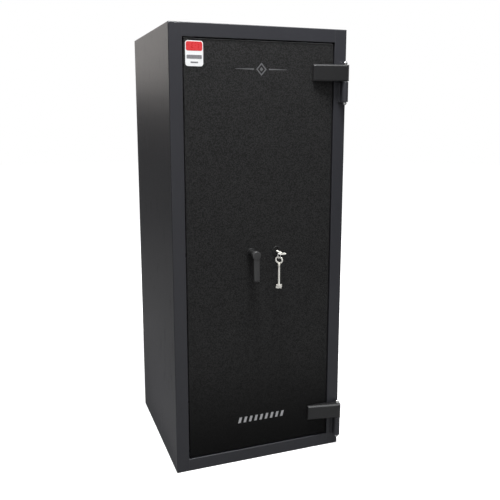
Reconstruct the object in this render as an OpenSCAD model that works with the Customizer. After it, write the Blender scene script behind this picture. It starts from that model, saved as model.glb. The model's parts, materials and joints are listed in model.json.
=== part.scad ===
// Upright gun safe: one-door fire-lined cabinet with outside hinges,
// lever-driven boltwork, double-bit key lock and a fitted interior.
// Origin: centre of the base footprint, on the floor. +Z up, front faces -Y.

/* [Cabinet] */
// Outside width
cab_w = 615; // [605:1:625]
// Outside depth, without hinges and handle
cab_d = 575; // [565:1:600]
// Outside height
cab_h = 1500; // [1490:1:1510]
// Wall thickness from outer skin to inner lining
wall_t = 28; // [27:0.5:30]
// Width of the painted frame around the door
frame_w = 44; // [43:0.5:45]
// Depth of the frame lip that the bolts catch behind
lip_d = 31; // [29:0.5:32]

/* [Door] */
// Gap between door edge and frame
door_gap = 3; // [2.8:0.1:3.5]
// How far the door face sits behind the frame face
door_recess = 3; // [2:0.5:4]
// Thickness of the door's front plate
plate_t = 6; // [5:0.5:7]

/* [Hinges] */
// Pivot position to the right of the cabinet's middle
pivot_x = 297; // [296.5:0.5:298.5]
// Pivot position in front of the frame face
pivot_out = 14.5; // [14.4:0.1:15]
// Height of a hinge leaf
leaf_h = 54; // [50:1:58]
// Underside of the lower hinge leaf
leaf_low_z = 112; // [108:1:116]
// Underside of the upper hinge leaf
leaf_up_z = 1329.5; // [1325:0.5:1332]

/* [Handle and lock] */
// Handle axis, left or right of the middle
handle_x = -34; // [-36:0.5:-32]
// Height of the handle axis and of the keyhole
lock_z = 756; // [750:1:760]
// Keyhole axis, left or right of the middle
key_x = 58.5; // [56:0.5:59.5]
// Bolt diameter
bolt_d = 20; // [18:0.5:20]

/* [Interior] */
// Height of the shelf's top face
shelf_z = 1198; // [1190:1:1200]
// Number of barrel rests
rests = 6; // [4:1:6]

/* [Hidden] */

X2 = cab_w / 2;                 // outer half width
F = -cab_d / 2;                 // frame face
B = cab_d / 2;                  // back face
OX = X2 - frame_w;              // opening half width
OZ0 = frame_w;                  // opening bottom
OZ1 = cab_h - frame_w;          // opening top
IX = X2 - wall_t;               // inside half width
IZ0 = wall_t;                   // inside floor
IZ1 = cab_h - wall_t;           // inside ceiling
IB = B - wall_t;                // inside back
L = F + lip_d;                  // rear of the lip
st = 3;                         // steel and lining thickness
PX = OX - door_gap;             // door plate half width
PZ0 = OZ0 + door_gap;
PZ1 = OZ1 - door_gap;
D0 = F + door_recess;           // door face
D1 = D0 + plate_t;              // rear of door plate
TX = PX - 8.5;                  // door tray half width
TZ0 = PZ0 + 8.5;
TZ1 = PZ1 - 8.5;
T1 = F + 66;                    // rear of the tray
BY = L + 2 + bolt_d / 2;        // bolt axis depth
br = bolt_d / 2;
throw = 24.04;                  // bolt travel
cr = 17;                        // crank pin radius
cq = cr * cos(45);              // crank pin offset at rest
PY = F - pivot_out;             // hinge pivot depth
HX = handle_x; HZ = lock_z; KX = key_x; KZ = lock_z;
bolt_zs = [236, 496, 756, 1016, 1276];
dead_zs = [300, 756, 1212];
knuckle_h = 66;
wash = 3;
kdeg = 80;                      // where the ring sits on the bow
rdeg = 50;                      // how the ring is turned
bow_y = F - 45;                 // middle of the inserted key's bow
RX = KX - 3 - 9 * sin(kdeg);    // ring hanging point on the bow
RY = bow_y - 9 * cos(kdeg);
ring_r = 9.5; wire = 0.8; ring_drop = 5;
RZ = KZ - ring_drop;            // ring centre
SZ = RZ - ring_r + wire + 0.25; // lower edge of the spare bow's top bar
LPX = 274; LPY = 0;             // locker hinge axis
LKX = 97; LKZ = 1335;           // locker lock axis

module bx(x, y, z) translate([x[0], y[0], z[0]]) cube([x[1] - x[0], y[1] - y[0], z[1] - z[0]]);
// round rectangle from a to b with corner radius r
module rr(a, b, r) {
  translate([a[0] + r, a[1]]) square([b[0] - a[0] - 2 * r, b[1] - a[1]]);
  translate([a[0], a[1] + r]) square([b[0] - a[0], b[1] - a[1] - 2 * r]);
  for (x = [a[0] + r, b[0] - r], y = [a[1] + r, b[1] - r]) translate([x, y]) circle(r = r, $fn = 48);
}
// cylinder along Y from y0 to y1
module cy(x, z, r, y0, y1, n = 64) translate([x, y1, z]) rotate([90, 0, 0]) cylinder(r = r, h = y1 - y0, $fn = n);
// cylinder along X
module cx(y, z, r, x0, x1, n = 64) translate([x0, y, z]) rotate([0, 90, 0]) cylinder(r = r, h = x1 - x0, $fn = n);
// cylinder along Z
module cz(x, y, r, z0, z1, n = 64) translate([x, y, z0]) cylinder(r = r, h = z1 - z0, $fn = n);
// 2-D outline in X-Z, thickened along Y
module xz(y0, y1) translate([0, y1, 0]) rotate([90, 0, 0]) linear_extrude(height = y1 - y0) children();
// 2-D outline in Y-Z, thickened along X
module yz(x0, x1) translate([x0, 0, 0]) rotate([90, 0, 90]) linear_extrude(height = x1 - x0) children();

// ---------- cabinet shell, corners folded to a 3 mm radius ----------
module fold_env() intersection() {
  linear_extrude(height = cab_h) rr([-X2, F], [X2, B], 3);
  yz(-X2, X2) rr([F, 0], [B, cab_h], 3);
  xz(F, B) rr([-X2, 0], [X2, cab_h], 3);
}
module opening_bevel() {
  for (s = [-1, 1]) translate([s * OX, F, OZ0 - 1]) rotate([0, 0, 45]) translate([-0.85, -0.85, 0]) cube([1.7, 1.7, OZ1 - OZ0 + 2]);
  for (z = [OZ0, OZ1]) translate([-OX - 1, F, z]) rotate([45, 0, 0]) translate([0, -0.85, -0.85]) cube([2 * OX + 2, 1.7, 1.7]);
}
module side_panel(s) color([0.16, 0.165, 0.18]) intersection() {
  fold_env();
  bx(s > 0 ? [X2 - st, X2] : [-X2, -X2 + st], [L, B], [0, cab_h]);
}
module side_panel_left() side_panel(-1);
module side_panel_right() side_panel(1);
module top_panel() color([0.16, 0.165, 0.18]) bx([-X2 + st, X2 - st], [L, B - st], [cab_h - st, cab_h]);
anchor_x = 200; anchor_y = 165;
module anchors(r, z0, z1) for (x = [-anchor_x, anchor_x], y = [-anchor_y, anchor_y]) cz(x, y, r, z0, z1, 48);
module bottom_panel() color([0.16, 0.165, 0.18]) difference() {
  bx([-X2 + st, X2 - st], [L, B - st], [0, st]);
  anchors(7, -1, st + 1);
}
module back_panel() color([0.16, 0.165, 0.18]) intersection() {
  fold_env();
  bx([-X2 + st, X2 - st], [B - st, B], [0, cab_h]);
}
module frame_post(s) color([0.17, 0.175, 0.19]) difference() {
  intersection() {
    fold_env();
    mirror([s > 0 ? 0 : 1, 0, 0]) union() {
      bx([OX, X2], [F, F + 3.5], [st, cab_h - st]);
      bx([X2 - st, X2], [F, L], [st, cab_h - st]);
      bx([OX, OX + st], [F, L], [st, cab_h - st]);
      bx([OX, IX + st], [L - st, L], [st, cab_h - st]);
    }
  }
  opening_bevel();
}
module frame_post_left() frame_post(-1);
module frame_post_right() frame_post(1);
module frame_rail(top) color([0.17, 0.175, 0.19]) difference() {
  intersection() {
    fold_env();
    union() {
      bx([-OX, OX], [F, F + 3.5], top ? [OZ1, cab_h - st] : [st, OZ0]);
      bx([-X2, X2], [F, L], top ? [cab_h - st, cab_h] : [0, st]);
      bx([-OX, OX], [F, L], top ? [OZ1, OZ1 + st] : [OZ0 - st, OZ0]);
      bx([-OX, OX], [L - st, L], top ? [OZ1, IZ1 + st] : [IZ0 - st, OZ0]);
    }
  }
  opening_bevel();
}
module frame_rail_top() frame_rail(true);
module frame_rail_bottom() frame_rail(false);
module wall_fireboards() color([0.82, 0.8, 0.75]) {
  g = 0.3;
  for (s = [-1, 1]) bx(s > 0 ? [IX + st + g, X2 - st - g] : [-X2 + st + g, -IX - st - g], [L + g, B - st - g], [st + g, cab_h - st - g]);
  bx([-IX - st + g, IX + st - g], [IB + st + g, B - st - g], [st + g, cab_h - st - g]);
  bx([-IX - st + g, IX + st - g], [L + g, IB + st - g], [IZ1 + st + g, cab_h - st - g]);
  difference() {
    bx([-IX - st + g, IX + st - g], [L + g, IB + st - g], [st + g, IZ0 - st - g]);
    anchors(9, 0, IZ0);
  }
}
// ---------- carpeted lining ----------
module liner_left() color([0.3, 0.3, 0.32]) bx([-IX - st, -IX], [L, IB + st], [IZ0 - st, IZ1 + st]);
module liner_right() color([0.3, 0.3, 0.32]) bx([IX, IX + st], [L, IB + st], [IZ0 - st, IZ1 + st]);
module liner_back() color([0.3, 0.3, 0.32]) bx([-IX, IX], [IB, IB + st], [IZ0 - st, IZ1 + st]);
module liner_top() color([0.3, 0.3, 0.32]) bx([-IX, IX], [L, IB], [IZ1, IZ1 + st]);
module liner_floor() color([0.3, 0.3, 0.32]) difference() {
  bx([-IX, IX], [L, IB], [IZ0 - st, IZ0]);
  anchors(12, 0, IZ0 + 1);
}
module floor_mat() color([0.1, 0.1, 0.1]) difference() {
  bx([-IX + 2, IX - 2], [L + 42, IB - 2], [IZ0, IZ0 + 8]);
  anchors(16, 0, IZ0 + 20);
}
module shelf() color([0.32, 0.32, 0.34]) bx([-IX + 1, IX - 1], [-205, IB - 1], [shelf_z - 18, shelf_z]);
module bracket(s, y, z) {
  x0 = s > 0 ? IX - 2 : -IX; x1 = s > 0 ? IX - 30 : -IX + 30;
  bx([x0, x0 + 2], [y - 12, y + 12], [z - 32, z]);
  bx([min(x0, x1), max(x0 + 2, x1)], [y - 12, y + 12], [z - 2, z]);
}
rack_z = 1000;
module shelf_brackets() color([0.6, 0.6, 0.62]) {
  for (s = [-1, 1]) {
    for (y = [-140, 180]) bracket(s, y, shelf_z - 18);
    bracket(s, 225, rack_z);
  }
}
module barrel_rack() color([0.32, 0.32, 0.34]) difference() {
  bx([-IX + 1, IX - 1], [175, IB - 1], [rack_z, rack_z + 18]);
  for (i = [0 : rests - 1]) translate([(i - (rests - 1) / 2) * 540 / rests, 0, 0]) {
    cz(0, 214, 18, rack_z - 1, rack_z + 19);
    bx([-18, 18], [170, 214], [rack_z - 1, rack_z + 19]);
  }
}
// ---------- outside hinges ----------
leaf_l = 113;                   // pivot to the leaf's free end
leaf_d = sqrt(leaf_l * leaf_l + 72.25);
ta = 180 - asin(8.5 / leaf_d) + acos(13 / leaf_d);     // tangent point on the barrel
tx = 13 * cos(ta); ty = 13 * sin(ta);
slope = atan2(ty - 8.5, tx + leaf_l);
module leaf_plan() intersection() {
  union() {
    circle(r = 13, $fn = 96);
    polygon([[-leaf_l, 17.5 - 3 + door_recess], [-leaf_l, 11.5], [-leaf_l + 2.95, 8.5 + tan(slope) * 2.95], [tx, ty], [0, 0], [0, 13],
             [-34.5, 13], [-38.8, 17.5 - 3 + door_recess]]);
  }
  translate([-130, -20]) square([140.6, 40]);
}
module hinge_leaf(z0) color([0.13, 0.13, 0.14]) translate([pivot_x, PY, z0]) difference() {
  intersection() {
    linear_extrude(height = leaf_h) leaf_plan();
    rotate([0, 0, slope]) yz(-160, 40)
      polygon([[-13, 4.5], [-13, leaf_h - 4.5], [-8.5, leaf_h], [70, leaf_h], [70, 0], [-8.5, 0]]);
  }
  translate([0, 0, -1]) cylinder(r = 6.06, h = leaf_h + 2, $fn = 64);
}
module hinge_leaf_upper() hinge_leaf(leaf_up_z);
module hinge_leaf_lower() hinge_leaf(leaf_low_z);
module hinge_knuckle(z0) color([0.19, 0.19, 0.2]) translate([pivot_x, PY, z0 - wash - knuckle_h]) difference() {
  linear_extrude(height = knuckle_h) {
    circle(r = 11.5, $fn = 96);
    polygon([[-18, pivot_out], [-18, 10.5], [-16.5, 9], [-7, 9], [-7, 0], [9.5, 0], [9.5, pivot_out]]);
  }
  translate([0, 0, -1]) cylinder(r = 6.02, h = knuckle_h + 2, $fn = 64);
}
module hinge_knuckle_upper() hinge_knuckle(leaf_up_z);
module hinge_knuckle_lower() hinge_knuckle(leaf_low_z);
module hinge_pins() color([0.85, 0.85, 0.86]) for (z0 = [leaf_low_z, leaf_up_z]) translate([pivot_x, PY, z0])
  rotate_extrude($fn = 64) {
    translate([0, -wash - knuckle_h - 5]) square([6, knuckle_h + wash + leaf_h + 8]);
    intersection() {
      translate([0, leaf_h + 5.4]) circle(r = 7.3, $fn = 64);
      translate([0, leaf_h + 0.4]) square([20, 20]);
    }
    intersection() {
      translate([0, -wash - knuckle_h - 3.6]) circle(r = 7.3, $fn = 64);
      translate([0, -wash - knuckle_h - 20.2]) square([20, 20]);
    }
  }
module hinge_washers() color([0.7, 0.7, 0.7]) for (z0 = [leaf_low_z, leaf_up_z]) translate([pivot_x, PY, z0 - wash])
  difference() { cylinder(r = 9.5, h = wash - 0.4, $fn = 64); translate([0, 0, -1]) cylinder(r = 6.1, h = 6, $fn = 64); }

// ---------- door ----------
module keyhole(y0, y1) { cy(KX, KZ, 4.7, y0, y1, 48); bx([KX - 2.8, KX + 2.8], [y0, y1], [KZ - 13, KZ + 13]); }
module door_plate() color([0.09, 0.09, 0.09]) difference() {
  bx([-PX, PX], [D0, D1], [PZ0, PZ1]);
  for (s = [-1, 1]) translate([s * PX, D0, PZ0 - 1]) rotate([0, 0, 45]) translate([-1.6, -1.6, 0]) cube([3.2, 3.2, PZ1 - PZ0 + 2]);
  for (z = [PZ0, PZ1]) translate([-PX - 1, D0, z]) rotate([45, 0, 0]) translate([0, -1.6, -1.6]) cube([2 * PX + 2, 3.2, 3.2]);
  cy(HX, HZ, 11.1, D0 - 1, D1 + 1);
  keyhole(D0 - 1, D1 + 1);
}
module door_tray() color([0.5, 0.5, 0.52]) difference() {
  union() {
    for (s = [-1, 1]) {
      bx(s > 0 ? [TX - 3, TX] : [-TX, -TX + 3], [D1, T1], [TZ0, TZ1]);
      bx(s > 0 ? [TX - 21, TX] : [-TX, -TX + 21], [T1 - 3, T1], [TZ0, TZ1]);
    }
    bx([-TX, TX], [D1, T1], [TZ0, TZ0 + 3]);
    bx([-TX, TX], [D1, T1], [TZ1 - 3, TZ1]);
    bx([-TX, TX], [T1 - 3, T1], [TZ0, TZ0 + 21]);
    bx([-TX, TX], [T1 - 3, T1], [TZ1 - 21, TZ1]);
  }
  for (z = bolt_zs) cx(BY, z, br + 0.6, -TX - 1, -TX + 5);
  cz(HX - 17.5, BY, br + 0.6, TZ1 - 5, TZ1 + 1);
  cz(HX + 17.5, BY, br + 0.6, TZ0 - 1, TZ0 + 5);
  for (z = dead_zs) cx(F + 52, z, 8.02, TX - 5, TX + 1);
  cover_holes(T1 - 4, T1 + 1, 2.55);
}
cover_zs = [82, 330, 756, 1182, 1418];
module cover_holes(y0, y1, r) for (s = [-1, 1], z = cover_zs) cy(s * 243, z, r, y0, y1, 32);
module door_fireboard() color([0.82, 0.8, 0.75]) difference() {
  bx([-TX + 3.4, TX - 3.4], [D1 + 0.2, F + 26.8], [TZ0 + 3.4, TZ1 - 3.4]);
  cy(HX, HZ, 11.5, D1, F + 28);
  cy(KX, KZ, 15, D1, F + 28);
}
module inner_cover() color([0.45, 0.45, 0.47]) difference() {
  bx([-TX + 2, TX - 2], [T1, T1 + 2.5], [TZ0 + 2, TZ1 - 2]);
  cover_holes(T1 - 1, T1 + 4, 2.55);
}
module inner_cover_trim() color([0.3, 0.3, 0.32]) bx([-234, 234], [T1 + 2.5, T1 + 5.5], [TZ0 + 17, TZ1 - 17]);
module cover_screws() color([0.75, 0.75, 0.76]) for (s = [-1, 1], z = cover_zs) {
  cy(s * 243, z, 2.45, T1 - 5, T1 + 2.6, 32);
  difference() {
    cy(s * 243, z, 4.6, T1 + 2.6, T1 + 4.8, 48);
    bx([s * 243 - 3, s * 243 + 3], [T1 + 3.8, T1 + 6], [z - 0.5, z + 0.5]);
    bx([s * 243 - 0.5, s * 243 + 0.5], [T1 + 3.8, T1 + 6], [z - 3, z + 3]);
  }
}
module fire_seal() color([0.05, 0.05, 0.05]) difference() {
  bx([-TX - 2, TX + 2], [F + 12, F + 22], [TZ0 - 2, TZ1 + 2]);
  bx([-TX, TX], [F + 11, F + 23], [TZ0, TZ1]);
}
module fixed_dead_bolts() color([0.8, 0.8, 0.81]) for (z = dead_zs) {
  cx(F + 52, z, 8, TX - 20, TX + 18);
  translate([TX + 18, F + 52, z]) rotate([0, 90, 0]) cylinder(r1 = 8, r2 = 6.5, h = 1.5, $fn = 64);
}
module bolt_guides() color([0.72, 0.6, 0.32]) {
  for (z = bolt_zs) difference() { cx(BY, z, br + 3.4, -TX + 3, -TX + 11); cx(BY, z, br + 0.3, -TX, -TX + 12); }
  difference() { cz(HX - 17.5, BY, br + 3.4, TZ1 - 11, TZ1 - 3); cz(HX - 17.5, BY, br + 0.3, TZ1 - 12, TZ1); }
  difference() { cz(HX + 17.5, BY, br + 3.4, TZ0 + 3, TZ0 + 11); cz(HX + 17.5, BY, br + 0.3, TZ0, TZ0 + 12); }
}
lock_box = [[20, 92], [F + 29, F + 58], [700, 812]];
lock_screw_pos = [[28, 708], [84, 708], [28, 804], [84, 804]];
module hard_plate() color([0.4, 0.41, 0.44]) difference() {
  bx([12, 100], [F + 27, F + 29], [692, 820]);
  cy(KX, KZ, 13.5, F + 26, F + 30);
}
module lock_case() color([0.55, 0.53, 0.45]) difference() {
  bx(lock_box[0], lock_box[1], lock_box[2]);
  keyhole(F + 28, F + 36);
  cy(KX, KZ, 13.4, F + 34, F + 54);
  bx([19, KX - 13], [F + 35.5, F + 44.5], [KZ - 6.5, KZ + 6.5]);
  for (p = lock_screw_pos) cy(p[0], p[1], 2.6, F + 28, F + 60, 32);
}
module lock_screws() color([0.75, 0.75, 0.76]) for (p = lock_screw_pos) {
  cy(p[0], p[1], 2.5, F + 30, F + 58.1, 32);
  cy(p[0], p[1], 4.6, F + 58.1, F + 61, 48);
}
module handle_bush() color([0.12, 0.12, 0.12]) translate([HX, F + 29, HZ]) rotate([90, 0, 0]) difference() {
  union() {
    cylinder(r = 11, h = 26, $fn = 64);
    translate([0, 0, 26]) cylinder(r = 16, h = 1.2, $fn = 96);
    translate([0, 0, 27.2]) cylinder(r1 = 16, r2 = 14.8, h = 1, $fn = 96);
  }
  translate([0, 0, -1]) cylinder(r = 6.06, h = 40, $fn = 64);
}
module keyhole_escutcheon() color([0.12, 0.12, 0.12]) difference() {
  union() {
    cy(KX, KZ, 17, D0 - 1.2, D0, 96);
    translate([KX, D0 - 1.2, KZ]) rotate([90, 0, 0]) cylinder(r1 = 17, r2 = 16, h = 0.8, $fn = 96);
  }
  keyhole(D0 - 3, D0 + 1);
}
// printed plates, 0.8 mm and thinner
module corner_badge() color([0.8, 0.2, 0.16]) xz(D0 - 0.9, D0) rr([-254, 1367], [-196, 1445], 9);
module ornament_upper() color([0.42, 0.42, 0.42]) xz(D0 - 0.5, D0) {
  for (s = [-1, 1]) polygon([[s * 26, 1365.5], [s * 90, 1363.8], [s * 90, 1362.8], [s * 26, 1361]]);
  difference() {
    polygon([[-18, 1363.2], [0, 1384], [18, 1363.2], [0, 1342.4]]);
    polygon([[-13, 1363.2], [0, 1378.2], [13, 1363.2], [0, 1348.2]]);
  }
  polygon([[-6, 1363.2], [0, 1370.2], [6, 1363.2], [0, 1356.2]]);
}
module ornament_lower() color([0.6, 0.6, 0.6]) xz(D0 - 0.5, D0)
  for (i = [0 : 8]) translate([-84 + i * 20, 144.5]) polygon([[0, 0], [9, 0], [14.5, 20], [5.5, 20]]);

// ---------- handle and boltwork ----------
module handle_lever() color([0.17, 0.17, 0.17]) difference() {
  union() {
    translate([HX, F, HZ]) rotate([90, 0, 0]) {
      cylinder(r1 = 13, r2 = 11, h = 30, $fn = 96);
      translate([0, 0, 30]) cylinder(r1 = 11, r2 = 14.6, h = 5, $fn = 96);
      translate([0, 0, 35]) cylinder(r = 14.6, h = 12, $fn = 96);
      translate([0, 0, 47]) cylinder(r1 = 14.6, r2 = 11.6, h = 3, $fn = 96);
    }
    hull() {
      bx([HX - 10.4, HX + 10.4], [F - 45.5, F - 36.5], [HZ - 30, HZ - 6]);
      bx([HX - 8.6, HX + 8.6], [F - 48.6, F - 35], [HZ - 30, HZ - 6]);
      bx([HX - 10.4, HX + 10.4], [F - 49.5, F - 42.5], [HZ - 86, HZ - 80]);
      bx([HX - 8.6, HX + 8.6], [F - 52.4, F - 41], [HZ - 88.5, HZ - 80]);
    }
  }
  cy(HX, HZ, 6.02, F - 40, F + 1);
}
module handle_spindle() color([0.7, 0.7, 0.72]) {
  cy(HX, HZ, 6, F - 39.8, F + 42);
  cy(HX, HZ, 9, F + 42, F + 44.3);
}
module crank_disc() color([0.68, 0.66, 0.6]) difference() {
  union() {
    cy(HX, HZ, 34, F + 38, F + 42, 96);
    cy(HX + cq, HZ - cq, 4, F + 30.3, F + 39);
    cy(HX - cq, HZ - cq, 4, F + 41, F + 50.5);
    cy(HX + cq, HZ + cq, 4, F + 41, F + 50.5);
  }
  cy(HX, HZ, 6.02, F + 37, F + 43);
  bx([HX + 24.8, HX + 36], [F + 37, F + 43], [HZ - 7, HZ + 7]);
  bx([HX - 7, HX + 7], [F + 37, F + 43], [HZ + 24.8, HZ + 36]);
}
module side_bolt_bar() color([0.7, 0.68, 0.6]) difference() {
  union() {
    bx([-216, -210], [BY - 10, BY + 10], [210, 1302]);
    bx([-216, HX + 28], [F + 30, F + 34.5], [HZ - 34, HZ - 7.2]);
  }
  bx([HX + cq - 4.75, HX + cq + 4.75], [F + 29, F + 36], [HZ - 23, HZ - 6]);
}
module side_bolts() color([0.85, 0.85, 0.86]) for (z = bolt_zs) {
  cx(BY, z, br, -TX + 2.3, -216);
  translate([-TX + 0.5, BY, z]) rotate([0, 90, 0]) cylinder(r1 = br - 1.8, r2 = br, h = 1.8, $fn = 64);
}
module yoke(s) {      // s = -1: left, driving up; s = 1: right, driving down
  difference() {
    bx(s < 0 ? [HX - 31, HX - 3.5] : [HX + 3.5, HX + 31], [F + 45, F + 50], s < 0 ? [HZ - cq - 12, HZ + 30] : [HZ - 30, HZ + cq + 12]);
    bx(s < 0 ? [HX - 22, HX - 7] : [HX + 7, HX + 22], [F + 44, F + 51], [HZ + s * cq - 4.75, HZ + s * cq + 4.75]);
  }
  bx([HX + s * 17.5 - 9, HX + s * 17.5 + 9], [F + 45, F + 50], s < 0 ? [HZ + 20, 1392] : [108, HZ - 20]);
}
module top_bolt_rod() color([0.8, 0.8, 0.8]) {
  yoke(-1);
  cz(HX - 17.5, BY, br, 1384, TZ1 - 2.3);
  translate([HX - 17.5, BY, TZ1 - 2.3]) cylinder(r1 = br, r2 = br - 1.8, h = 1.8, $fn = 64);
}
module bottom_bolt_rod() color([0.8, 0.8, 0.8]) {
  yoke(1);
  cz(HX + 17.5, BY, br, TZ0 + 2.3, 116);
  translate([HX + 17.5, BY, TZ0 + 0.5]) cylinder(r1 = br - 1.8, r2 = br, h = 1.8, $fn = 64);
}
module lock_bolt() color([0.78, 0.66, 0.36]) bx([HX + 35.5, KX - 14.2], [F + 36, F + 44], [KZ - 6, KZ + 6]);

// ---------- keys ----------
module bow2d() difference() {
  union() { for (x = [-3, 3]) translate([x, 0]) circle(r = 11, $fn = 64); translate([-3, -11]) square([6, 22]); }
  for (x = [-3, 3]) translate([x, 0]) circle(r = 7, $fn = 64);
  translate([-3, -7]) square([6, 14]);
}
// double-bit key: bow centre at the origin, shank along -Y of the 2-D frame
module bit2d() {
  polygon([[0, 0], [11, 0], [11, -3], [8, -3], [8, -5.5], [10.5, -5.5], [10.5, -9], [7, -9], [7, -11], [9.5, -11], [9.5, -13], [0, -13]]);
  polygon([[0, -1.5], [-9.5, -1.5], [-9.5, -4.5], [-7, -4.5], [-7, -7], [-10.5, -7], [-10.5, -9.5], [-8, -9.5], [-8, -11.5], [-11, -11.5], [-11, -14.5], [0, -14.5]]);
}
module key_in_lock() color([0.9, 0.9, 0.86]) {
  translate([KX, bow_y, KZ - 1.2]) linear_extrude(height = 2.4) bow2d();
  cy(KX, KZ, 3.2, F - 35, F + 52.5, 48);
  cy(KX, KZ, 4.4, F - 32, F - 29, 48);
  cy(KX, KZ, 4.1, F - 25, F - 23.5, 48);
  translate([KX, F + 37, KZ - 1.7]) mirror([0, 1, 0]) linear_extrude(height = 3.4) bit2d();
}
module key_ring() color([0.8, 0.8, 0.8]) translate([RX, RY, RZ]) rotate([0, 0, -rdeg]) rotate([0, 90, 0])
  rotate_extrude($fn = 96) translate([ring_r, 0]) circle(r = wire, $fn = 24);
module spare_key() color([0.9, 0.9, 0.86]) translate([RX, RY, SZ - 7]) rotate([0, 0, -rdeg]) {
  translate([0, 1.2, 0]) rotate([90, 0, 0]) linear_extrude(height = 2.4) bow2d();
  cz(0, 0, 3.2, -105 + 14.5, -9.6, 48);
  cz(0, 0, 4.4, -15.5, -12.5, 48);
  cz(0, 0, 4.1, -20.5, -19, 48);
  cz(0, 0, 2.4, -96, -105 + 15, 48);
  translate([0, 1.7, -84]) rotate([90, 0, 0]) linear_extrude(height = 3.4) bit2d();
}

// ---------- inner locker ----------
module locker_partition() color([0.2, 0.2, 0.21]) {
  bx([66, 68], [0, IB], [shelf_z, IZ1]);
  bx([66, 84], [16.5, 18.5], [shelf_z, IZ1]);
}
lhz = [1228, 1412];
module locker_hinge_posts() color([0.6, 0.6, 0.62]) for (z = lhz) {
  bx([LPX + 2.5, IX], [LPY - 1.5, LPY + 1.5], [z, z + 14]);
  bx([IX - 2, IX], [LPY - 1.5, LPY + 18], [z, z + 14]);
  difference() {
    cz(LPX, LPY, 3.4, z, z + 14, 48);
    cz(LPX, LPY, 1.8, z - 1, z + 15, 48);
  }
  cz(LPX, LPY, 1.78, z, z + 29, 48);
}
module locker_door() color([0.2, 0.2, 0.21]) {
  difference() {
    union() {
      bx([72, 270], [2, 3.5], [shelf_z + 5, IZ1 - 5]);
      for (x = [72, 268.5]) bx([x, x + 1.5], [2, 14], [shelf_z + 5, IZ1 - 5]);
      for (z = [shelf_z + 5, IZ1 - 6.5]) bx([72, 270], [2, 14], [z, z + 1.5]);
    }
    cy(LKX, LKZ, 8.05, 1, 5);
  }
  for (z = lhz) {
    bx([252, LPX - 2.5], [0.4, 2], [z + 14.4, z + 28.4]);
    difference() {
      cz(LPX, LPY, 3.4, z + 14.4, z + 28.4, 48);
      cz(LPX, LPY, 1.84, z + 14, z + 29, 48);
    }
  }
}
module locker_cam_lock() color([0.8, 0.8, 0.8]) difference() {
  union() {
    cy(LKX, LKZ, 11, 0, 2, 64);
    cy(LKX, LKZ, 8, 2, 19, 64);
  }
  cy(LKX, LKZ, 4.05, -1, 20, 48);
}
module locker_cam() color([0.7, 0.7, 0.7]) {
  cy(LKX, LKZ, 4, -1.5, 22, 48);
  bx([LKX - 1, LKX + 1], [-15, -1.5], [LKZ - 2, LKZ + 6]);
  cy(LKX, LKZ + 2, 8, -15.9, -14, 48);
  bx([LKX - 5, LKX + 5], [19.6, 21.6], [LKZ - 27, LKZ + 5]);
}

side_panel_left();
side_panel_right();
top_panel();
bottom_panel();
back_panel();
frame_post_left();
frame_post_right();
frame_rail_top();
frame_rail_bottom();
wall_fireboards();
liner_left();
liner_right();
liner_back();
liner_top();
liner_floor();
floor_mat();
shelf();
shelf_brackets();
barrel_rack();
hinge_knuckle_upper();
hinge_knuckle_lower();
hinge_pins();
hinge_washers();
locker_partition();
locker_hinge_posts();
door_plate();
door_tray();
door_fireboard();
inner_cover();
inner_cover_trim();
cover_screws();
fire_seal();
hinge_leaf_upper();
hinge_leaf_lower();
fixed_dead_bolts();
bolt_guides();
hard_plate();
lock_case();
lock_screws();
handle_bush();
keyhole_escutcheon();
corner_badge();
ornament_upper();
ornament_lower();
handle_lever();
handle_spindle();
crank_disc();
side_bolt_bar();
side_bolts();
top_bolt_rod();
bottom_bolt_rod();
lock_bolt();
key_in_lock();
key_ring();
spare_key();
locker_door();
locker_cam_lock();
locker_cam();
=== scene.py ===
"""Looks of the tall safe: procedural materials, a few finer meshes, light and camera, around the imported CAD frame."""

import json
import math

import bmesh
import bpy
from mathutils import Matrix, Vector


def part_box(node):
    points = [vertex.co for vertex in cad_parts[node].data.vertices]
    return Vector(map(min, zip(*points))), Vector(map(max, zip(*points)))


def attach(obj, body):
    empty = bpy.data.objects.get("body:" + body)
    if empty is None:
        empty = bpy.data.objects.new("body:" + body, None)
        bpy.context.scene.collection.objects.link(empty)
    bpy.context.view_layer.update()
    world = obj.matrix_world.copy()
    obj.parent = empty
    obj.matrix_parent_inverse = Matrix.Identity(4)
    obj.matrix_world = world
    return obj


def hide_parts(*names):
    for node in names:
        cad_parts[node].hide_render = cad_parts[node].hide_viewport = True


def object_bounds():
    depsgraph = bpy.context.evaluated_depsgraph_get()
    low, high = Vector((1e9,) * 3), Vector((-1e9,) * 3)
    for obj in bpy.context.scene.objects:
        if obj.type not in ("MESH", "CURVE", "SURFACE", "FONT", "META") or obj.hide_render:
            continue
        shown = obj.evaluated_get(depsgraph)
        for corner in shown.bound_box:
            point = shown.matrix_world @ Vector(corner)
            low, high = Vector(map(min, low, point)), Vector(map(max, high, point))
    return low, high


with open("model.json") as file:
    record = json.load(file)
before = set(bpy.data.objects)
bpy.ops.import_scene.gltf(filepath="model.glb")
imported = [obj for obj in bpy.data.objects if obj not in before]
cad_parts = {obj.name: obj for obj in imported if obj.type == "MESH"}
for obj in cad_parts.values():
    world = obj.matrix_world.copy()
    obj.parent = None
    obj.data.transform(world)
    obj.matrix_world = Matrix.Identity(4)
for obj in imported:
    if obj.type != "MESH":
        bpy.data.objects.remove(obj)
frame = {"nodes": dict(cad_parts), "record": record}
box0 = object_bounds()
NODES = frame["nodes"]
scene = bpy.context.scene
MM = 0.001

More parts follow.
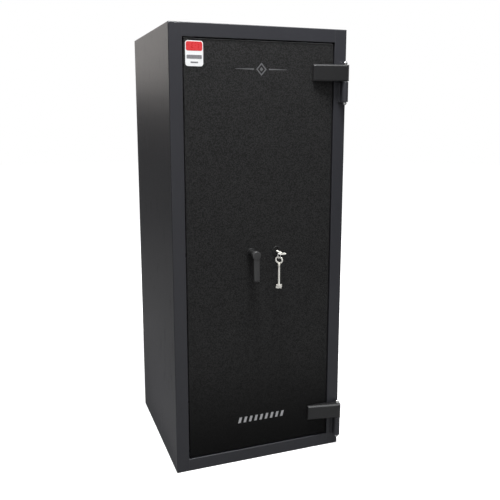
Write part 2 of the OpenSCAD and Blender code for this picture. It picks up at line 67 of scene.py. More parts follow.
# ------------------------------------------------------------------ camera
cam_data = bpy.data.cameras.new("cam")
cam = bpy.data.objects.new("cam", cam_data)
scene.collection.objects.link(cam)
cam.location = (-0.7612, -2.2455, 1.2195)
cam.rotation_euler = (math.radians(90 - 9.8), 0, math.radians(-20.202))
cam_data.sensor_width = 36.0
cam_data.lens = 45.43
cam_data.shift_x = 0.0
cam_data.shift_y = -0.0536
cam_data.clip_start, cam_data.clip_end = 0.05, 60.0
scene.camera = cam


# ------------------------------------------------------------------ node helpers
class Mat:
    """A small writer for procedural materials, in object coordinates (metres)."""

    def __init__(self, name):
        self.m = bpy.data.materials.new(name)
        self.m.use_nodes = True
        self.t = self.m.node_tree
        self.t.nodes.clear()
        self.out = self.t.nodes.new("ShaderNodeOutputMaterial")
        self.bsdf = self.t.nodes.new("ShaderNodeBsdfPrincipled")
        self.t.links.new(self.bsdf.outputs[0], self.out.inputs[0])
        self.pos = self.t.nodes.new("ShaderNodeTexCoord").outputs["Object"]

    def node(self, kind, **kw):
        n = self.t.nodes.new(kind)
        for k, v in kw.items():
            setattr(n, k, v)
        return n

    def put(self, socket, v):
        if isinstance(v, bpy.types.NodeSocket):
            self.t.links.new(v, socket)
        elif hasattr(socket.default_value, "__len__") and not hasattr(v, "__len__"):
            socket.default_value = [v] * len(socket.default_value)
        else:
            if hasattr(v, "__len__") and len(v) == 3 and len(socket.default_value) == 4:
                v = (*v, 1.0)
            socket.default_value = v

    def scaled(self, s, shift=(0, 0, 0), turn=(0, 0, 0)):
        n = self.node("ShaderNodeMapping")
        self.t.links.new(self.pos, n.inputs["Vector"])
        n.inputs["Scale"].default_value = s if hasattr(s, "__len__") else (s, s, s)
        n.inputs["Location"].default_value = shift
        n.inputs["Rotation"].default_value = turn
        return n.outputs[0]

    def noise(self, scale, detail=3.0, rough=0.5, at=None, distort=0.0):
        n = self.node("ShaderNodeTexNoise")
        self.put(n.inputs["Vector"], at or self.pos)
        n.inputs["Scale"].default_value = scale
        n.inputs["Detail"].default_value = detail
        n.inputs["Roughness"].default_value = rough
        n.inputs["Distortion"].default_value = distort
        return n.outputs[0]

    def cells(self, scale, feature="F1", at=None, smooth=1.0):
        n = self.node("ShaderNodeTexVoronoi", feature=feature)
        self.put(n.inputs["Vector"], at or self.pos)
        n.inputs["Scale"].default_value = scale
        if feature == "SMOOTH_F1":
            n.inputs["Smoothness"].default_value = smooth
        return n.outputs["Distance"]

    def ramp(self, fac, *stops):
        n = self.node("ShaderNodeMapRange", interpolation_type="SMOOTHSTEP")
        (a, va), (b, vb) = stops
        self.put(n.inputs["Value"], fac)
        n.inputs["From Min"].default_value = a
        n.inputs["From Max"].default_value = b
        n.inputs["To Min"].default_value = va
        n.inputs["To Max"].default_value = vb
        return n.outputs[0]

    def lin(self, fac, a, b, va, vb):
        n = self.node("ShaderNodeMapRange")
        n.clamp = True
        self.put(n.inputs["Value"], fac)
        for k, v in (("From Min", a), ("From Max", b), ("To Min", va), ("To Max", vb)):
            n.inputs[k].default_value = v
        return n.outputs[0]

    def math(self, op, a, b=0.0, clamp=False):
        n = self.node("ShaderNodeMath", operation=op, use_clamp=clamp)
        self.put(n.inputs[0], a)
        self.put(n.inputs[1], b)
        return n.outputs[0]

    def mix(self, fac, a, b, mode="MIX"):
        n = self.node("ShaderNodeMix", data_type="RGBA", blend_type=mode)
        self.put(n.inputs[0], fac)
        self.put(n.inputs[6], a)
        self.put(n.inputs[7], b)
        return n.outputs[2]

    def axis(self, i):
        n = self.node("ShaderNodeSeparateXYZ")
        self.t.links.new(self.pos, n.inputs[0])
        return n.outputs[i]

    def normal_axis(self, i):
        n = self.node("ShaderNodeSeparateXYZ")
        g = self.node("ShaderNodeNewGeometry")
        self.t.links.new(g.outputs["Normal"], n.inputs[0])
        return n.outputs[i]

    def edges(self, radius, low=0.01, high=0.16):
        """(edge mask, rounded normal) from a bevel of that radius."""
        b = self.node("ShaderNodeBevel", samples=8)
        b.inputs["Radius"].default_value = radius
        g = self.node("ShaderNodeNewGeometry")
        d = self.node("ShaderNodeVectorMath", operation="DOT_PRODUCT")
        self.t.links.new(b.outputs[0], d.inputs[0])
        self.t.links.new(g.outputs["Normal"], d.inputs[1])
        off = self.math("SUBTRACT", 1.0, d.outputs["Value"])
        return self.ramp(off, (low, 0.0), (high, 1.0)), b.outputs[0]

    def bump(self, height, strength, distance, normal=None):
        n = self.node("ShaderNodeBump")
        n.inputs["Strength"].default_value = strength
        n.inputs["Distance"].default_value = distance
        self.put(n.inputs["Height"], height)
        if normal is not None:
            self.put(n.inputs["Normal"], normal)
        return n.outputs[0]

    def done(self, color, rough, metal=0.0, normal=None, spec=0.5, coat=0.0, coat_rough=0.1, sheen=0.0, sheen_rough=0.5, aniso=0.0):
        i = self.bsdf.inputs
        self.put(i["Base Color"], color)
        self.put(i["Roughness"], rough)
        self.put(i["Metallic"], metal)
        i["Specular IOR Level"].default_value = spec
        i["Coat Weight"].default_value = coat
        i["Coat Roughness"].default_value = coat_rough
        i["Sheen Weight"].default_value = sheen
        i["Sheen Roughness"].default_value = sheen_rough
        i["Anisotropic"].default_value = aniso
        if normal is not None:
            self.put(i["Normal"], normal)
        return self.m


# ------------------------------------------------------------------ materials
def body_paint():
    k = Mat("satin_powder_coat")
    edge, nrm = k.edges(1.4 * MM)
    peel = k.noise(620, 3, 0.55)
    fine = k.noise(2600, 2, 0.5)
    broad = k.noise(5, 4, 0.6)
    scuff = k.noise(38, 6, 0.7, k.scaled((1, 1, 0.25)))
    col = k.mix(broad, (0.0235, 0.0238, 0.0288), (0.0288, 0.0292, 0.0347))
    col = k.mix(k.ramp(fine, (0.55, 0.0), (0.75, 0.35)), col, (0.06, 0.06, 0.066))
    worn = k.math("MULTIPLY", edge, k.ramp(k.noise(60, 5, 0.65), (0.35, 0.15), (0.7, 0.8)))
    col = k.mix(worn, col, (0.105, 0.106, 0.112))
    r = k.lin(peel, 0.3, 0.7, 0.36, 0.46)
    r = k.math("ADD", r, k.ramp(scuff, (0.56, 0.0), (0.74, 0.10)))
    r = k.math("SUBTRACT", r, k.math("MULTIPLY", edge, 0.10))
    n = k.bump(k.math("ADD", peel, k.math("MULTIPLY", fine, 0.35)), 0.35, 0.12 * MM, nrm)
    return k.done(col, r, 0.0, n, spec=0.5)


def door_paint(name="grained_powder_coat", radius=1.2 * MM, paint_bottom_shade=True):
    k = Mat(name)
    edge, nrm = k.edges(radius)
    warp = k.noise(90, 3, 0.6)
    at = k.node("ShaderNodeVectorMath", operation="ADD")
    k.t.links.new(k.pos, at.inputs[0])
    w = k.node("ShaderNodeCombineXYZ")
    for j, s in enumerate((310, 290, 270)):
        k.put(w.inputs[j], k.math("MULTIPLY", k.math("SUBTRACT", k.noise(s, 2, 0.5), 0.5), 0.0022))
    k.t.links.new(w.outputs[0], at.inputs[1])
    grain = k.cells(560, "SMOOTH_F1", at.outputs[0], 0.55)
    crease = k.cells(560, "DISTANCE_TO_EDGE", at.outputs[0])
    valley = k.ramp(crease, (0.0, 0.0), (0.16, 1.0))
    top = (0.0400, 0.0398, 0.0398)
    low = (0.0010, 0.0010, 0.0010)
    # painted shade: the base colour darkens from the top colour to near black towards the bottom of the door, standing
    # in for the shade that falls there
    if paint_bottom_shade:
        z = k.axis(2)
        bottom_shade_ramp = k.ramp(z, (0.02, 0.0), (0.46, 1.0))
        base = k.mix(bottom_shade_ramp, low, top)
    else:
        base = k.mix(0.5, top, top)
    mott = k.noise(26, 5, 0.65)
    base = k.mix(k.ramp(mott, (0.35, 0.0), (0.7, 0.12)), base, (0.0, 0.0, 0.0))
    base = k.mix(k.math("MULTIPLY", k.math("SUBTRACT", 1.0, valley), 0.82), base, (0.0, 0.0, 0.0))
    pebble = k.cells(250, "SMOOTH_F1", at.outputs[0], 0.4)
    base = k.mix(k.ramp(pebble, (0.27, 0.0), (0.73, 0.55)), base, (0.0, 0.0, 0.0))
    speck = k.ramp(k.noise(1100, 2, 0.5), (0.59, 0.0), (0.71, 0.30))
    base = k.mix(speck, base, (0.068, 0.068, 0.068))
    # edge wear that is also a painted highlight: the edges lighten to grey, standing in for light catching the door's
    # chamfers
    worn = k.math("MULTIPLY", edge, k.ramp(warp, (0.35, 0.3), (0.7, 1.0)))
    base = k.mix(worn, base, (0.075, 0.076, 0.08))
    # partly dust and partly a painted highlight: upward-facing faces and chamfers turn light grey, standing in for
    # overhead light catching the door's top edge
    dust = k.ramp(k.normal_axis(2), (0.35, 0.0), (0.7, 0.85))
    base = k.mix(dust, base, (0.19, 0.19, 0.195))
    r = k.lin(grain, 0.0, 0.7, 0.44, 0.66)
    h = k.math("SUBTRACT", k.math("MULTIPLY", valley, 0.8), k.math("MULTIPLY", grain, 0.6))
    n = k.bump(h, 0.5, 0.28 * MM, nrm)
    return k.done(base, r, 0.0, n, spec=0.15)


def black_paint(name, lo, hi, rough=(0.38, 0.5), peel_scale=900, radius=0.9 * MM, spec=0.45, wear_and_highlight_col=(0.16, 0.16, 0.165), amount=0.8):
    k = Mat(name)
    edge, nrm = k.edges(radius)
    peel = k.noise(peel_scale, 3, 0.55)
    blot = k.noise(45, 4, 0.6)
    col = k.mix(blot, lo, hi)
    # edges lighten to the given colour: edge wear, and for the hinge coat also a painted highlight
    worn = k.math("MULTIPLY", edge, k.ramp(k.noise(160, 5, 0.7), (0.38, 0.1), (0.66, amount)))
    col = k.mix(worn, col, wear_and_highlight_col)
    r = k.lin(peel, 0.3, 0.7, rough[0], rough[1])
    n = k.bump(peel, 0.3, 0.1 * MM, nrm)
    return k.done(col, r, 0.0, n, spec=spec)


def turned_steel(name, tint=(0.55, 0.55, 0.56), rough=(0.18, 0.34), along=2, radius=0.5 * MM, scratch=1.0):
    """Ground or turned bright steel, with fine lines across the given axis."""
    k = Mat(name)
    edge, nrm = k.edges(radius)
    s = [60.0, 60.0, 60.0]
    s[along] = 4200.0
    lines = k.noise(1.0, 3, 0.6, k.scaled(tuple(s)))
    stain = k.noise(55, 5, 0.65)
    col = k.mix(k.ramp(stain, (0.35, 0.0), (0.75, 0.6)), tint, tuple(c * 0.62 for c in tint))
    col = k.mix(k.lin(lines, 0.3, 0.7, 0.0, 0.28), col, tuple(c * 0.7 for c in tint))
    col = k.mix(k.math("MULTIPLY", edge, 0.5), col, (0.86, 0.86, 0.86))
    r = k.lin(lines, 0.3, 0.7, rough[0], rough[1])
    r = k.math("ADD", r, k.ramp(stain, (0.5, 0.0), (0.8, 0.14)))
    n = k.bump(lines, 0.22 * scratch, 0.03 * MM, nrm)
    return k.done(col, r, 1.0, n, spec=0.5, aniso=0.35)


def zinc_sheet(name, tint=(0.46, 0.47, 0.49), radius=0.7 * MM):
    """Zinc-plated pressed sheet: faint spangle, light scratches, dull patches."""
    k = Mat(name)
    edge, nrm = k.edges(radius)
    sp = k.node("ShaderNodeTexVoronoi", feature="F1")
    k.put(sp.inputs["Vector"], k.pos)
    sp.inputs["Scale"].default_value = 85
    spang = k.node("ShaderNodeSeparateColor")
    k.t.links.new(sp.outputs["Color"], spang.inputs[0])
    patch = k.noise(14, 5, 0.6)
    scr = k.noise(1.0, 2, 0.5, k.scaled((900.0, 60.0, 40.0), turn=(0.2, 0.5, 0.1)))
    col = k.mix(k.math("MULTIPLY", spang.outputs[0], 0.55), tint, tuple(c * 1.25 for c in tint))
    col = k.mix(k.ramp(patch, (0.4, 0.0), (0.75, 0.45)), col, tuple(c * 0.7 for c in tint))
    col = k.mix(k.math("MULTIPLY", edge, 0.6), col, (0.8, 0.81, 0.82))
    r = k.math("ADD", k.lin(spang.outputs[1], 0, 1, 0.34, 0.46), k.ramp(scr, (0.6, 0.0), (0.75, 0.12)))
    n = k.bump(k.math("ADD", k.math("MULTIPLY", scr, 0.5), k.noise(700, 2, 0.5)), 0.14, 0.06 * MM, nrm)
    return k.done(col, r, 1.0, n)


def felt(name, dark=(0.032, 0.032, 0.0355), light=(0.098, 0.098, 0.107), rib=False):
    """Needle-felt carpet: tangled fibres, lint flecks, a broad nap."""
    k = Mat(name)
    f1 = k.noise(1.0, 3, 0.7, k.scaled((420, 420, 1500), turn=(0.6, 0.2, 0.3)), 1.4)
    f2 = k.noise(1.0, 3, 0.7, k.scaled((1500, 1400, 380), turn=(-0.5, 0.4, -0.2)), 1.4)
    f3 = k.noise(1.0, 2, 0.6, k.scaled((500, 1700, 900), turn=(0.2, -0.7, 0.9)), 1.0)
    nap = k.noise(9, 4, 0.6)
    tuft = k.noise(260, 3, 0.6)
    fib = k.math("MAXIMUM", k.math("MAXIMUM", f1, f2), f3)
    col = k.mix(k.lin(fib, 0.42, 0.72, 0, 1), dark, light)
    col = k.mix(k.ramp(nap, (0.35, 0.0), (0.7, 0.12)), col, tuple(c * 1.35 for c in light))
    col = k.mix(k.ramp(k.noise(900, 1, 0.5), (0.69, 0.0), (0.76, 0.5)), col, (0.16, 0.16, 0.17))
    h = k.math("ADD", k.math("MULTIPLY", fib, 0.8), k.math("MULTIPLY", tuft, 0.9))
    if rib:
        wave = k.math("SINE", k.math("MULTIPLY", k.axis(2), 2 * math.pi / (6 * MM)))
        h = k.math("ADD", h, k.math("MULTIPLY", wave, 0.25))
    n = k.bump(h, 0.9, 0.9 * MM, k.edges(2.4 * MM)[1])
    return k.done(col, k.lin(tuft, 0.3, 0.7, 0.86, 1.0), 0.0, n, spec=0.12, sheen=0.35, sheen_rough=0.55)


def ribbed_rubber():
    k = Mat("ribbed_rubber_mat")
    x = k.axis(0)
    wave = k.math("SINE", k.math("MULTIPLY", x, 2 * math.pi / (5 * MM)))
    ridge = k.ramp(wave, (-0.3, 0.0), (0.6, 1.0))
    dust = k.noise(120, 6, 0.7)
    col = k.mix(ridge, (0.008, 0.008, 0.008), (0.021, 0.021, 0.022))
    col = k.mix(k.ramp(dust, (0.5, 0.0), (0.75, 0.3)), col, (0.07, 0.068, 0.064))
    n = k.bump(k.math("ADD", ridge, k.math("MULTIPLY", k.noise(1800, 2, 0.5), 0.12)), 0.8, 0.9 * MM)
    return k.done(col, k.lin(dust, 0.3, 0.7, 0.6, 0.82), 0.0, n, spec=0.3)


def mineral_board():
    k = Mat("mineral_fire_board")
    grit = k.noise(900, 4, 0.7)
    blot = k.noise(20, 5, 0.6)
    col = k.mix(grit, (0.50, 0.47, 0.40), (0.66, 0.63, 0.56))
    col = k.mix(k.ramp(blot, (0.35, 0), (0.75, 0.4)), col, (0.42, 0.40, 0.35))
    n = k.bump(grit, 0.6, 0.4 * MM)
    return k.done(col, k.lin(grit, 0.3, 0.7, 0.85, 0.97), 0.0, n, spec=0.2)


def seal_strip():
    k = Mat("intumescent_strip")
    g = k.noise(1400, 3, 0.6)
    st = k.math("SINE", k.math("MULTIPLY", k.math("ADD", k.axis(1), 0.0), 2 * math.pi / (2.5 * MM)))
    col = k.mix(g, (0.010, 0.010, 0.010), (0.026, 0.025, 0.025))
    n = k.bump(k.math("ADD", g, k.math("MULTIPLY", st, 0.5)), 0.5, 0.25 * MM)
    return k.done(col, k.lin(g, 0.3, 0.7, 0.55, 0.75), 0.0, n, spec=0.3)


def nickel(name, tint=(0.97, 0.95, 0.88), radius=0.35 * MM, metal=0.12):
    k = Mat(name)
    edge, nrm = k.edges(radius, 0.01, 0.25)
    brush = k.noise(1.0, 3, 0.6, k.scaled((2600, 2600, 160)))
    tarn = k.noise(180, 5, 0.65)
    col = k.mix(k.ramp(tarn, (0.45, 0), (0.8, 0.4)), tint, (0.80, 0.76, 0.66))
    col = k.mix(k.math("MULTIPLY", edge, 0.5), col, (0.98, 0.97, 0.93))
    r = k.math("ADD", k.lin(brush, 0.3, 0.7, 0.16, 0.28), k.ramp(tarn, (0.5, 0), (0.8, 0.12)))
    n = k.bump(brush, 0.18, 0.02 * MM, nrm)
    return k.done(col, r, metal, n)


def bronze():
    k = Mat("bearing_brass")
    edge, nrm = k.edges(0.5 * MM)
    line = k.noise(1.0, 3, 0.6, k.scaled((3000, 200, 200)))
    tarn = k.noise(90, 5, 0.65)
    col = k.mix(k.ramp(tarn, (0.4, 0), (0.75, 0.75)), (0.62, 0.43, 0.16), (0.36, 0.22, 0.09))
    col = k.mix(k.math("MULTIPLY", edge, 0.5), col, (0.83, 0.64, 0.3))
    n = k.bump(line, 0.2, 0.03 * MM, nrm)
    return k.done(col, k.lin(line, 0.3, 0.7, 0.24, 0.42), 1.0, n)


def yellow_zinc(name="passivated_zinc"):
    k = Mat(name)
    edge, nrm = k.edges(0.6 * MM)
    irid = k.noise(26, 4, 0.6, distort=1.2)
    gr = k.noise(800, 2, 0.5)
    col = k.mix(irid, (0.52, 0.47, 0.30), (0.56, 0.51, 0.44))
    col = k.mix(k.ramp(k.noise(44, 4, 0.6), (0.5, 0), (0.8, 0.4)), col, (0.45, 0.44, 0.35))
    col = k.mix(k.math("MULTIPLY", edge, 0.6), col, (0.78, 0.75, 0.62))
    n = k.bump(gr, 0.18, 0.05 * MM, nrm)
    return k.done(col, k.lin(gr, 0.3, 0.7, 0.30, 0.42), 1.0, n)


def hard_steel():
    k = Mat("hardened_steel")
    edge, nrm = k.edges(0.5 * MM)
    a = k.noise(60, 5, 0.65)
    g = k.noise(1200, 3, 0.6)
    col = k.mix(a, (0.10, 0.105, 0.12), (0.19, 0.185, 0.18))
    col = k.mix(k.math("MULTIPLY", edge, 0.6), col, (0.5, 0.5, 0.5))
    return k.done(col, k.lin(g, 0.3, 0.7, 0.38, 0.55), 1.0, k.bump(g, 0.3, 0.06 * MM, nrm))


def enamel(name, color, rough=0.24, spec=0.5, coat=0.25, dark=0.8, radius=0.25 * MM):
    """Glossy screen-printed field: faint print dots, dust and soft edge."""
    k = Mat(name)
    edge, nrm = k.edges(radius)
    dots = k.noise(2600, 2, 0.5)
    blot = k.noise(140, 4, 0.6)
    lo = tuple(c * dark for c in color)
    col = k.mix(blot, lo, color)
    col = k.mix(k.ramp(dots, (0.6, 0), (0.8, 0.12)), col, (0.8, 0.8, 0.8))
    col = k.mix(k.math("MULTIPLY", edge, 0.25), col, (0.9, 0.9, 0.9))
    n = k.bump(k.noise(900, 2, 0.5), 0.12, 0.03 * MM, nrm)
    return k.done(col, k.lin(blot, 0.3, 0.7, rough, rough + 0.1), 0.0, n, spec=spec, coat=coat, coat_rough=0.12)


def film(name, color, metal=0.0):
    k = Mat(name)
    g = k.noise(1900, 3, 0.6)
    b = k.noise(60, 4, 0.6)
    col = k.mix(g, tuple(c * 0.78 for c in color), tuple(min(1, c * 1.15) for c in color))
    col = k.mix(k.ramp(b, (0.4, 0), (0.8, 0.3)), col, tuple(c * 0.6 for c in color))
    return k.done(col, k.lin(g, 0.3, 0.7, 0.42, 0.56), metal, k.bump(g, 0.2, 0.04 * MM), spec=0.4)


M = {
    "body_paint": body_paint(),
    "door_paint": door_paint(),
    "fire_board": mineral_board(),
    "carpet": felt("needle_felt"),
    "rubber_mat": ribbed_rubber(),
    "zinc_plate": zinc_sheet("zinc_plated_sheet"),
    "bright_steel": turned_steel("ground_steel_x", along=0),
    "bright_steel_z": turned_steel("ground_steel_z", along=2),
    "washer_steel": turned_steel("washer_steel", (0.34, 0.34, 0.35), (0.3, 0.45)),
    "locker_paint": black_paint("textured_grey_coat", (0.034, 0.034, 0.038), (0.046, 0.046, 0.05), (0.45, 0.62), 1300),
    # the hinge coat's light edge colour (0.22) is edge wear and also a painted highlight on the leaves' top chamfers
    "hinge_paint": black_paint("hinge_black_coat", (0.0110, 0.0110, 0.0115), (0.0150, 0.0150, 0.0155), (0.30, 0.40), spec=0.6, wear_and_highlight_col=(0.22, 0.22, 0.22)),
    "black_fitting": black_paint("fitting_black", (0.008, 0.008, 0.008), (0.012, 0.012, 0.012), (0.36, 0.48), spec=0.35),
    "handle_black": black_paint("handle_soft_black", (0.036, 0.036, 0.0365), (0.047, 0.047, 0.047), (0.36, 0.46), 1500, 0.8 * MM, 0.5, (0.17, 0.17, 0.17)),
    "seal_rubber": seal_strip(),
    "brass": bronze(),
    "hard_steel": hard_steel(),
    "lock_zinc": yellow_zinc(),
    "badge_gloss": enamel("badge_base_white", (0.90, 0.90, 0.90), dark=0.92),
    "ornament_print": film("grey_film", (0.13, 0.13, 0.135)),
    "key_nickel": nickel("nickel_key"),
    "ring_steel": nickel("ring_wire", (0.72, 0.72, 0.70), 0.2 * MM),
}
EXTRA = {
    "badge_red": enamel("badge_red", (0.72, 0.045, 0.050)),
    "badge_grey": enamel("badge_grey", (0.24, 0.24, 0.25)),
    "print_silver": film("silver_film", (0.46, 0.46, 0.47)),
    "pin_bright": turned_steel("polished_pin", (0.78, 0.78, 0.78), (0.10, 0.2), 2),
}
SLOT = {p["node"]: p["material_slot"] for p in frame["record"]["subparts"]}
for name, ob in NODES.items():
    m = M[SLOT[name]]
    if name in ("top_bolt_rod", "bottom_bolt_rod"):
        m = M["bright_steel_z"]
    if name == "hinge_pins":
        m = EXTRA["pin_bright"]
    if name == "ornament_lower":
        m = EXTRA["print_silver"]
    ob.data.materials.clear()
    ob.data.materials.append(m)


# ------------------------------------------------------------------ mesh helpers
def new_piece(name, bm, mat, body, smooth=True, replaces=()):
    bmesh.ops.recalc_face_normals(bm, faces=bm.faces)
    me = bpy.data.meshes.new(name)
    bm.to_mesh(me)
    bm.free()
    ob = bpy.data.objects.new(name, me)
    scene.collection.objects.link(ob)
    me.materials.append(mat)
    if smooth:
        for p in me.polygons:
            p.use_smooth = True
    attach(ob, body)
    if replaces:
        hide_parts(*replaces)
    return ob



def rings_to_mesh(bm, rings, close_first=True, close_last=True):
    """Skins a list of closed point rings of equal length."""
    vs = [[bm.verts.new(p) for p in r] for r in rings]
    n = len(vs[0])
    for a, b in zip(vs, vs[1:]):
        for i in range(n):
            bm.faces.new((a[i], a[(i + 1) % n], b[(i + 1) % n], b[i]))
    if close_first:
        bm.faces.new(vs[0][::-1])
    if close_last:
        bm.faces.new(vs[-1])
    return vs


def round_rect(w, h, r, seg=8):
    """Corner-rounded rectangle about the origin, as (u, v) points."""
    r = max(r, 1e-5)
    pts = []
    for cx, cy, a0 in ((w / 2 - r, h / 2 - r, 0), (-w / 2 + r, h / 2 - r, 90), (-w / 2 + r, -h / 2 + r, 180), (w / 2 - r, -h / 2 + r, 270)):
        for i in range(seg + 1):
            a = math.radians(a0 + 90 * i / seg)
            pts.append((cx + r * math.cos(a), cy + r * math.sin(a)))
    return pts


def plaque(name, cx, cz, w, h, r, y_back, y_front, lip, mat, body, replaces=()):
    """A thin rounded plate facing -Y with a rolled front rim."""
    bm = bmesh.new()
    rings = [[(cx + u, y_back, cz + v) for u, v in round_rect(w, h, r)]]
    for i in range(5):
        a = math.radians(90 * i / 4)
        inset = lip * (1 - math.cos(a))
        y = y_front + lip * (1 - math.sin(a))
        rings.append([(cx + u, y, cz + v) for u, v in round_rect(w - 2 * inset, h - 2 * inset, r - inset)])
    rings_to_mesh(bm, rings)
    ob = new_piece(name, bm, mat, body, smooth=False, replaces=replaces)
    return ob


def lathe(bm, profile, centre, seg=72):
    """Turned form about an axis along Y: profile is (radius, y), front last."""
    cx, cz = centre
    rings = []
    for r, y in profile:
        rings.append([(cx + r * math.cos(2 * math.pi * i / seg), y, cz + r * math.sin(2 * math.pi * i / seg)) for i in range(seg)])
    rings_to_mesh(bm, rings)


def fillet(p0, p1, p2, r, n=5):
    """Points that round the corner p1 of a profile by about r."""
    a, b, c = Vector(p0), Vector(p1), Vector(p2)
    s, e = b + (a - b).normalized() * r, b + (c - b).normalized() * r
    out = []
    for i in range(n + 1):
        t = i / n
        out.append(tuple((1 - t) ** 2 * s + 2 * t * (1 - t) * b + t * t * e))
    return out


# badge: white plate, red head field, grey band and a grey foot band; no lettering
lo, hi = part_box("corner_badge")
bw, bh = hi.x - lo.x, hi.z - lo.z
bx0, bz0 = (lo.x + hi.x) / 2, (lo.z + hi.z) / 2
yb, yf = hi.y, lo.y
plaque("badge_plate", bx0, bz0, bw, bh, 9 * MM, yb, yf, 0.5 * MM, M["badge_gloss"], "door", ("corner_badge",))
plaque("badge_head_field", bx0, bz0 + bh * 0.285, bw - 5 * MM, bh * 0.36, 6 * MM, yf + 0.1 * MM, yf - 0.25 * MM, 0.2 * MM, EXTRA["badge_red"], "door")
plaque("badge_band", bx0, bz0 - bh * 0.13, bw - 9 * MM, bh * 0.15, 2.2 * MM, yf + 0.1 * MM, yf - 0.25 * MM, 0.2 * MM, EXTRA["badge_grey"], "door")
plaque("badge_foot_band", bx0, bz0 - bh * 0.345, bw * 0.42, bh * 0.06, 1.6 * MM, yf + 0.1 * MM, yf - 0.25 * MM, 0.2 * MM, EXTRA["badge_grey"], "door")

# handle: turned hub and a lofted lever with soft edges; the dark neck is a piece of its own, its near-black coat partly
# painted shade beside the hub
lo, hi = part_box("handle_lever")
hx = (lo.x + hi.x) / 2
hz = hi.z - 14.6 * MM
fy = hi.y
bm = bmesh.new()
prof = [(6.02 * MM, fy - 29 * MM), (11.0 * MM, fy - 29 * MM)]
prof += fillet((11.0 * MM, fy - 29 * MM), (11.2 * MM, fy - 31 * MM), (14.6 * MM, fy - 35 * MM), 1.5 * MM)
prof += fillet((11.2 * MM, fy - 31 * MM), (14.6 * MM, fy - 35 * MM), (14.6 * MM, fy - 47 * MM), 2 * MM)
prof += fillet((14.6 * MM, fy - 38 * MM), (14.6 * MM, fy - 50 * MM), (0, fy - 50 * MM), 3.4 * MM, 8)
prof += [(8 * MM, fy - 50.25 * MM), (4 * MM, fy - 50.35 * MM), (0.5 * MM, fy - 50.35 * MM)]
lathe(bm, prof, (hx, hz))
sect = []
N = 26
for i in range(N + 1):
    t = i / N
    z = hz - 4 * MM - t * 84.5 * MM
    mid = fy - (41.6 + 5.1 * t) * MM
    w, d = (20.9 - 0.3 * math.sin(math.pi * t)) * MM, (13.6 - 2.2 * t) * MM
    end = max(0.0, (z - (hz - 84.6 * MM)) * -1 / (3.9 * MM))
    k = math.sqrt(max(0.0, 1 - (0.92 * end) ** 2)) if end > 0 else 1.0
    shr = (1 - k) * 3.2 * MM
    sect.append([(hx + u, mid + v, z) for u, v in round_rect(w - 2 * shr, d - 2 * shr, max(3.4 * MM - shr, 1.0 * MM), 7)])
rings_to_mesh(bm, sect)
lever = new_piece("handle_lever_form", bm, M["handle_black"], "handle", replaces=("handle_lever",))
bm = bmesh.new()
prof = [(6.02 * MM, fy), (12.2 * MM, fy)]
prof += fillet((12.2 * MM, fy), (13.0 * MM, fy - 1 * MM), (12.6 * MM, fy - 6 * MM), 0.8 * MM)
for i in range(7):
    y = fy - (5 + i * 3.2) * MM
    r = (12.55 - 0.22 * i) * MM
    prof += [(r, y), (r - 0.45 * MM, y - 0.5 * MM), (r - 0.45 * MM, y - 1.1 * MM), (r - 0.03 * MM, y - 1.6 * MM)]
prof += [(11.0 * MM, fy - 28.2 * MM), (10.8 * MM, fy - 29.4 * MM), (6.02 * MM, fy - 29.4 * MM)]
lathe(bm, prof, (hx, hz))
# the neck sleeve takes the near-black fitting coat, which also stands in as painted shade beside the hub
neck = new_piece("handle_neck_sleeve", bm, M["black_fitting"], "handle", replaces=("handle_lever",))


# weld beads where the knuckle straps meet the frame
def bead(bm, a, b, r, pitch, flat):
    """Rippled half-round bead from a to b on a face whose outward direction is flat."""
    a, b, up = Vector(a), Vector(b), Vector(flat)
    along = (b - a).normalized()
    side = along.cross(up)
    n = max(8, int((b - a).length / (pitch / 4)))
    rings = []
    for i in range(n + 1):
        t = i / n
        s = 0.82 + 0.18 * abs(math.sin(math.pi * (b - a).length * t / pitch)) + 0.03 * math.sin(11.3 * i)
        if i in (0, n):
            s *= 0.45
        c = a + along * (b - a).length * t
        rings.append([c + side * (r * s * math.cos(q)) + up * (0.62 * r * s * math.sin(q)) for q in (math.pi * j / 8 for j in range(9))])
    vs = [[bm.verts.new(p) for p in ring] for ring in rings]
    for p, q in zip(vs, vs[1:]):
        for j in range(9):
            bm.faces.new((p[j], p[(j + 1) % 9], q[(j + 1) % 9], q[j]))
    bm.faces.new(vs[0][::-1])
    bm.faces.new(vs[-1])


for which in ("upper", "lower"):
    lo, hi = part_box("hinge_knuckle_" + which)
    bm = bmesh.new()
    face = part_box("frame_post_right")[0].y
    bead(bm, (lo.x - 0.4 * MM, face, lo.z + 1 * MM), (lo.x - 0.4 * MM, face, hi.z - 1 * MM), 2.0 * MM, 1.9 * MM, (0, -1, 0))
    bead(bm, (lo.x + 1 * MM, face, lo.z - 0.3 * MM), (hi.x - 4 * MM, face, lo.z - 0.3 * MM), 1.8 * MM, 1.9 * MM, (0, -1, 0))
    new_piece("knuckle_weld_" + which, bm, M["body_paint"], "cabinet")


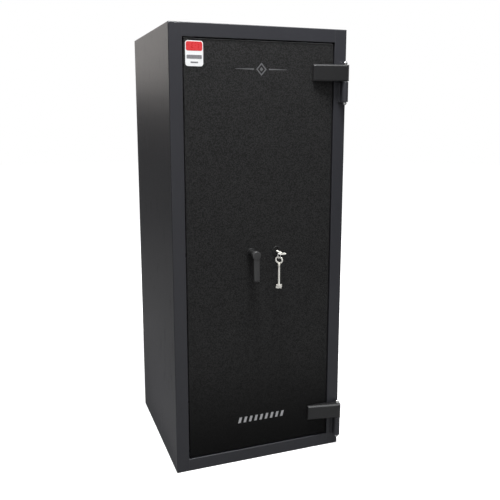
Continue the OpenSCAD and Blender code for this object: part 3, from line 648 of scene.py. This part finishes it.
# ------------------------------------------------------------------ floor, backdrop, light
def studio():
    k = Mat("studio_floor")
    lp = k.node("ShaderNodeLightPath")
    soft = k.noise(3, 3, 0.5)
    col = k.mix(soft, (0.86, 0.86, 0.86), (0.88, 0.88, 0.88))
    col = k.mix(lp.outputs["Is Camera Ray"], (0.24, 0.24, 0.24), col)
    mat = k.done(col, 0.9, 0.0, spec=0.0)
    k.bsdf.inputs["Emission Color"].default_value = (1, 1, 1, 1)
    k.put(k.bsdf.inputs["Emission Strength"], k.math("MULTIPLY", lp.outputs["Is Camera Ray"], 0.70))
    bm = bmesh.new()
    bmesh.ops.create_circle(bm, cap_ends=True, segments=96, radius=14.0)
    me = bpy.data.meshes.new("floor")
    bm.to_mesh(me)
    bm.free()
    fl = bpy.data.objects.new("floor", me)
    fl.location = (0, 0, box0[0].z - 0.0005)
    me.materials.append(mat)
    scene.collection.objects.link(fl)

    w = bpy.data.worlds.new("studio")
    scene.world = w
    w.use_nodes = True
    t = w.node_tree
    t.nodes.clear()
    out = t.nodes.new("ShaderNodeOutputWorld")
    mixer = t.nodes.new("ShaderNodeMixShader")
    lp = t.nodes.new("ShaderNodeLightPath")
    white = t.nodes.new("ShaderNodeBackground")
    white.inputs[0].default_value = (1, 1, 1, 1)
    white.inputs[1].default_value = 1.0
    env = t.nodes.new("ShaderNodeBackground")
    tc = t.nodes.new("ShaderNodeTexCoord")
    sep = t.nodes.new("ShaderNodeSeparateXYZ")
    rmp = t.nodes.new("ShaderNodeValToRGB")
    cr = rmp.color_ramp
    cr.elements[0].position, cr.elements[0].color = 0.0, (0.05, 0.05, 0.05, 1)
    cr.elements[1].position, cr.elements[1].color = 1.0, (1.0, 1.0, 1.0, 1)
    for pos, v in ((0.47, 0.10), (0.56, 0.12), (0.66, 0.38), (0.8, 0.70)):
        e = cr.elements.new(pos)
        e.color = (v, v, v * 1.02, 1)
    mp = t.nodes.new("ShaderNodeMapRange")
    mp.inputs["From Min"].default_value = -1
    mp.inputs["From Max"].default_value = 1
    t.links.new(tc.outputs["Generated"], sep.inputs[0])
    t.links.new(sep.outputs[2], mp.inputs["Value"])
    t.links.new(mp.outputs[0], rmp.inputs[0])
    t.links.new(rmp.outputs[0], env.inputs[0])
    env.inputs[1].default_value = 0.64
    t.links.new(lp.outputs["Is Camera Ray"], mixer.inputs[0])
    t.links.new(env.outputs[0], mixer.inputs[1])
    t.links.new(white.outputs[0], mixer.inputs[2])
    t.links.new(mixer.outputs[0], out.inputs[0])


def lamp(name, at, aim, size, power, color=(1, 1, 1), size_y=None, spread=math.pi):
    d = bpy.data.lights.new(name, "AREA")
    d.shape = "RECTANGLE"
    d.size, d.size_y = size, size_y or size
    d.energy = power
    d.color = color
    d.spread = spread
    o = bpy.data.objects.new(name, d)
    o.location = at
    o.rotation_euler = (Vector(aim) - Vector(at)).to_track_quat("-Z", "Y").to_euler()
    scene.collection.objects.link(o)
    return o


studio()
lamp("key_top", (0.6, -2.3, 3.4), (0, -0.1, 0.9), 0.8, 12, (0.97, 0.985, 1.0))
lamp("overhead", (-0.10, -0.80, 3.3), (0.05, -0.45, 0), 0.6, 112, (0.98, 0.99, 1.0), size_y=0.45)
lamp("rim_back_left", (-1.7, 3.6, 2.36), (-0.3, 0, 1.2), 2.0, 17.5, (1.0, 0.95, 0.91), size_y=1.9)
lamp("foot_left", (-0.95, 0.20, 0.45), (-0.42, -0.04, 0.0), 0.4, 0.6, size_y=0.4, spread=1.3)
lamp("front_fill", (-0.6, -3.4, 0.70), (0, 0, 0.95), 1.2, 8, (0.99, 0.995, 1.0), size_y=0.8)
lamp("fill_left", (-3.4, -0.9, 2.2), (0, 0, 1.0), 1.6, 4, size_y=2.2)
lamp("foot_fill", (0.1, -1.5, 0.10), (0, -0.2, 0.15), 1.6, 0.5, size_y=0.3)
lamp("fill_back", (1.6, 3.2, 2.2), (0, 0, 0.8), 1.8, 30, size_y=2.0)
lamp("fill_right", (3.3, -0.5, 2.3), (0.3, 0.0, 0.9), 1.6, 16, (0.98, 0.99, 1.0), size_y=2.0)
scene.view_settings.view_transform = "Standard"
scene.view_settings.look = "None"
scene.view_settings.exposure = 0.0
scene.view_settings.gamma = 1.0
